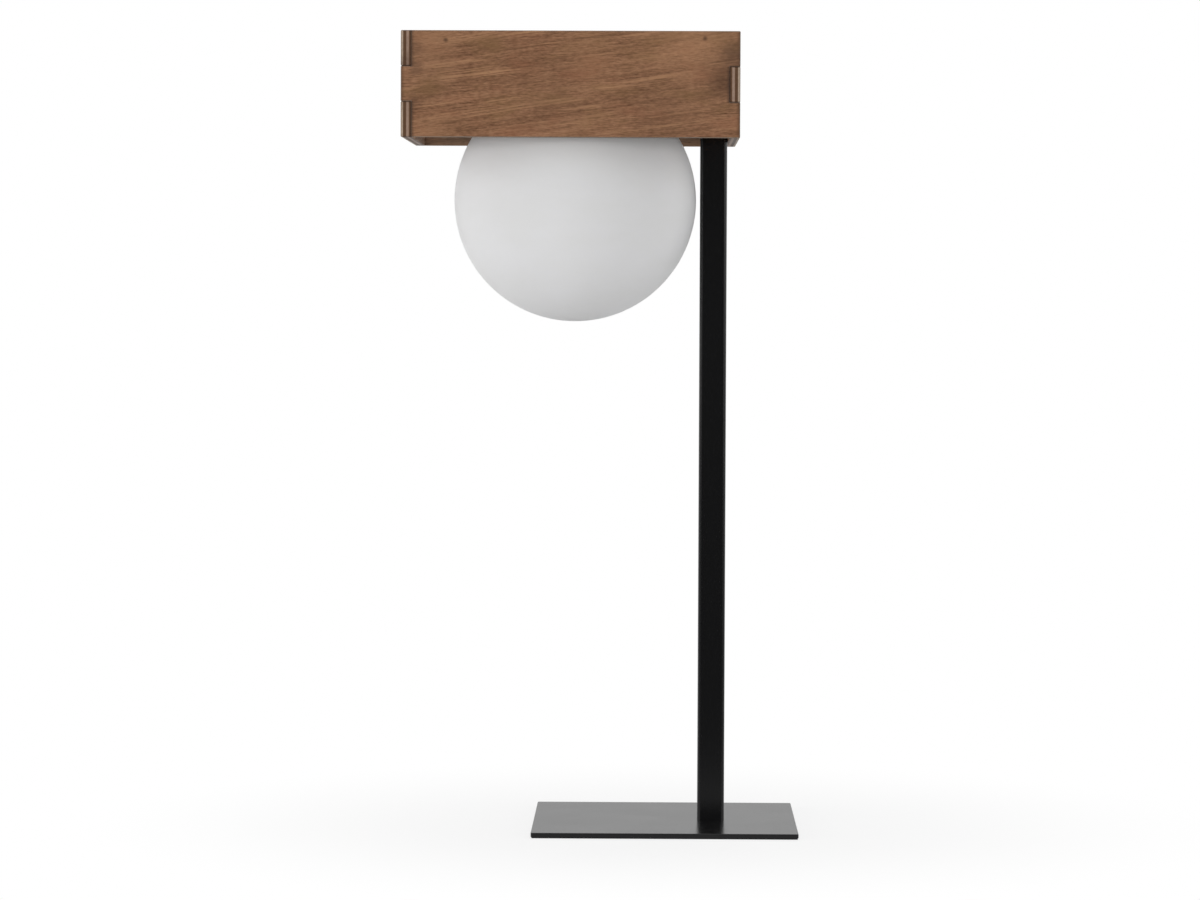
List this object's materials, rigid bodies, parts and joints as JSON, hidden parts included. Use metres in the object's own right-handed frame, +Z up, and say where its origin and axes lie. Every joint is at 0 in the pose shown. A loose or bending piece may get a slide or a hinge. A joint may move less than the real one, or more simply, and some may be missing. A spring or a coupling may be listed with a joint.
{
  "type": "table lamp",
  "caption": "Table lamp with an open stained-plywood head on an off-centre square black post and base plate, with an opal globe that screws in under the head.",
  "frame": {"origin": "middle of the underside of the pad under the base plate, on the table", "axes": "+Z up, +X to the right towards the post as seen from the front, +Y to the back"},
  "size_m": [0.2907, 0.197, 0.586],
  "materials": {
    "stained_plywood": "brown stained plywood, matt",
    "plain_wood": "bare beech, sanded",
    "black_coat": "satin black powder coat",
    "pad_foam": "black foam rubber sheet",
    "gland_plastic": "black moulded nylon",
    "zinc_steel": "bright zinc plate",
    "opal_glass": "opal glass, etched matt outside",
    "silicone": "clear white silicone",
    "holder_plastic": "black thermoplastic",
    "holder_ceramic": "white steatite",
    "brass": "bright brass",
    "bulb_metal": "drawn aluminium",
    "bulb_black": "black glass insulator",
    "bulb_white": "white plastic",
    "board_white": "white solder mask",
    "splice_nylon": "natural nylon",
    "wire_brown": "brown silicone insulation",
    "wire_blue": "blue silicone insulation",
    "wire_green": "green and yellow insulation",
    "tinned_copper": "tinned copper"
  },
  "bodies": {
    "stand": {"front_board": "stained_plywood", "right_board": "stained_plywood", "back_board": "stained_plywood", "left_board": "stained_plywood", "top_panel": "stained_plywood", "corner_blocks": "plain_wood", "base_plate": "black_coat", "post": "black_coat", "head_plate": "black_coat", "globe_cap": "black_coat", "base_pad": "pad_foam", "cord_gland": "gland_plastic", "foot_screw": "zinc_steel", "locating_pins": "zinc_steel", "post_foot_plug": "zinc_steel", "post_head_plug": "zinc_steel", "panel_spacers": "zinc_steel", "frame_screws": "zinc_steel", "hollow_nipples": "zinc_steel", "nipple_nuts": "zinc_steel", "nipple_washers": "zinc_steel", "earth_screw": "zinc_steel", "earth_nut": "zinc_steel", "terminal_screws": "zinc_steel", "lampholder_cap": "holder_plastic", "lampholder_body": "holder_plastic", "lampholder_insert": "holder_ceramic", "lampholder_shell": "brass", "lampholder_contact": "brass", "lampholder_terminals": "brass", "wire_splices": "splice_nylon", "live_wire": "wire_brown", "neutral_wire": "wire_blue", "earth_wire": "wire_green", "earth_lug": "tinned_copper"},
    "globe_seal": {"globe_gasket": "silicone"},
    "globe": {"glass_globe": "opal_glass"},
    "bulb_lens": {"bulb_diffuser": "bulb_white"},
    "bulb": {"bulb_cap": "bulb_metal", "bulb_insulator": "bulb_black", "bulb_contact": "brass", "bulb_body": "bulb_white", "bulb_led_board": "board_white"}
  },
  "joints": [
    {"name": "globe_drop", "type": "slide", "parent": "stand", "child": "globe_seal", "axis": [0, 0, -1], "range_m": [0, 0.006]},
    {"name": "globe_turn", "type": "hinge", "parent": "globe_seal", "child": "globe", "pos_m": [-0.0685, 0, 0.563], "axis": [0, 0, -1], "range_deg": [0, 540]},
    {"name": "bulb_drop", "type": "slide", "parent": "stand", "child": "bulb_lens", "axis": [0, 0, -1], "range_m": [0, 0.01089]},
    {"name": "bulb_turn", "type": "hinge", "parent": "bulb_lens", "child": "bulb", "pos_m": [-0.0685, 0, 0.5], "axis": [0, 0, -1], "range_deg": [0, 1080]}
  ],
  "couplings": [
    {"joint": "globe_drop", "follows": "globe_turn", "m_per_rad": 0.00063662},
    {"joint": "bulb_drop", "follows": "bulb_turn", "m_per_rad": 0.00057757}
  ]
}
